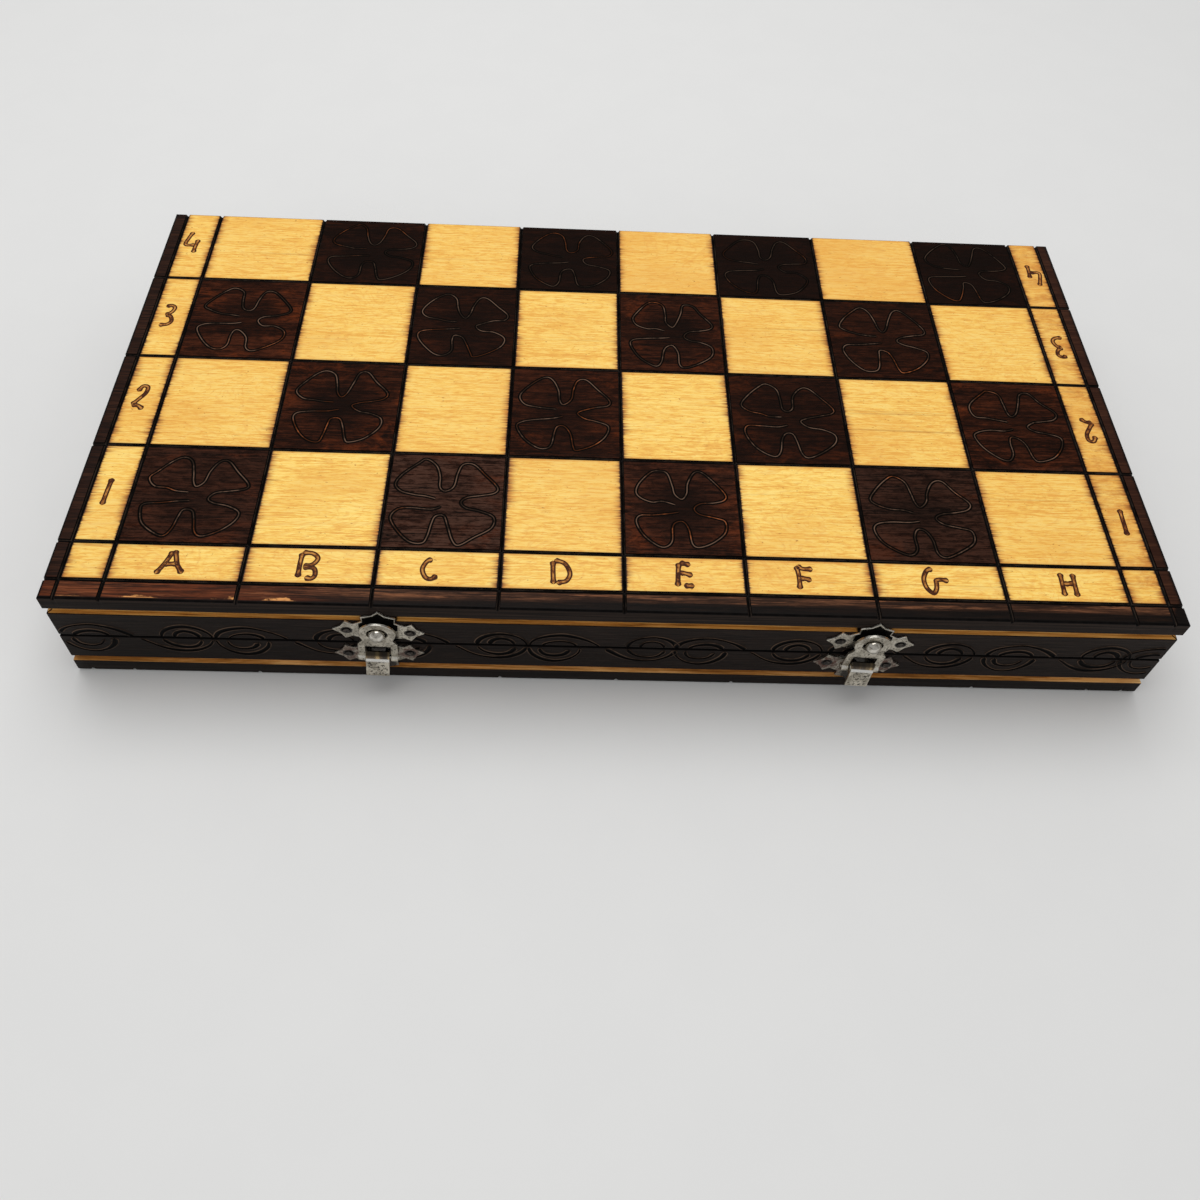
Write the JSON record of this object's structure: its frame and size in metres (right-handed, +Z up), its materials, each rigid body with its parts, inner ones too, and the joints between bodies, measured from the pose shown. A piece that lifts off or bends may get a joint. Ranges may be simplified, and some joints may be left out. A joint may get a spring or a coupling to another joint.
{
  "type": "folding chess set",
  "caption": "Shallow wooden case that unfolds into a chess board, hinged at the back and held shut by toggle latches, with turned chessmen lying inside.",
  "frame": {"origin": "centre of the closed case's underside, on the surface it stands on", "axes": "+X to the right along the length, +Y to the hinged back, +Z up; the latches face -Y"},
  "size_m": [0.4, 0.2102, 0.051],
  "materials": {
    "board_wood": "varnished, burnt dark squares",
    "rail_wood": "dark stain, satin, bare wood inside",
    "hinge_brass": "plated, satin",
    "latch_nickel": "aged nickel plate",
    "nail_steel": "dull steel",
    "light_men": "lacquered",
    "dark_men": "stained and lacquered"
  },
  "bodies": {
    "tray": {"lower_board": "board_wood", "lower_front_rail": "rail_wood", "lower_back_rail": "rail_wood", "lower_left_rail": "rail_wood", "lower_right_rail": "rail_wood", "left_hinge_lower_leaf": "hinge_brass", "right_hinge_lower_leaf": "hinge_brass", "left_hinge_pin": "hinge_brass", "right_hinge_pin": "hinge_brass", "left_latch_base_plate": "latch_nickel", "right_latch_base_plate": "latch_nickel", "left_latch_lever_pin": "latch_nickel", "right_latch_lever_pin": "latch_nickel", "lower_latch_nails": "nail_steel", "light_rooks": "light_men", "light_knights": "light_men", "light_bishops": "light_men", "light_queen": "light_men", "light_king": "light_men", "light_pawns": "light_men", "dark_rooks": "dark_men", "dark_knights": "dark_men", "dark_bishops": "dark_men", "dark_queen": "dark_men", "dark_king": "dark_men", "dark_pawns": "dark_men"},
    "lid": {"upper_board": "board_wood", "upper_front_rail": "rail_wood", "upper_back_rail": "rail_wood", "upper_left_rail": "rail_wood", "upper_right_rail": "rail_wood", "left_hinge_upper_leaf": "hinge_brass", "right_hinge_upper_leaf": "hinge_brass", "left_latch_strike_plate": "latch_nickel", "right_latch_strike_plate": "latch_nickel", "left_latch_ball_stud": "latch_nickel", "right_latch_ball_stud": "latch_nickel", "upper_latch_nails": "nail_steel"},
    "left_lever": {"left_latch_lever": "latch_nickel", "left_latch_link_rivets": "latch_nickel"},
    "left_link": {"left_latch_link": "latch_nickel"},
    "right_lever": {"right_latch_lever": "latch_nickel", "right_latch_link_rivets": "latch_nickel"},
    "right_link": {"right_latch_link": "latch_nickel"}
  },
  "joints": [
    {"name": "lid_hinge", "type": "hinge", "parent": "tray", "child": "lid", "pos_m": [0, 0.10035, 0.0255], "axis": [-1, 0, 0], "range_deg": [0, 180]},
    {"name": "left_lever_swing", "type": "hinge", "parent": "tray", "child": "left_lever", "pos_m": [-0.08678, -0.1034, 0.02422], "axis": [-0.9986, 0, 0.0523], "range_deg": [0, 95]},
    {"name": "left_link_swing", "type": "hinge", "parent": "left_lever", "child": "left_link", "pos_m": [-0.08697, -0.1029, 0.02042], "axis": [-0.9986, 0, 0.0523], "range_deg": [-123.5, 0]},
    {"name": "right_lever_swing", "type": "hinge", "parent": "tray", "child": "right_lever", "pos_m": [0.08828, -0.1034, 0.02425], "axis": [-0.9962, 0, 0.0872], "range_deg": [0, 95]},
    {"name": "right_link_swing", "type": "hinge", "parent": "right_lever", "child": "right_link", "pos_m": [0.08794, -0.1029, 0.02046], "axis": [-0.9962, 0, 0.0872], "range_deg": [-123.5, 0]}
  ],
  "couplings": [
    {"joint": "left_link_swing", "follows": "left_lever_swing", "ratio": -1.3},
    {"joint": "right_link_swing", "follows": "right_lever_swing", "ratio": -1.3}
  ]
}
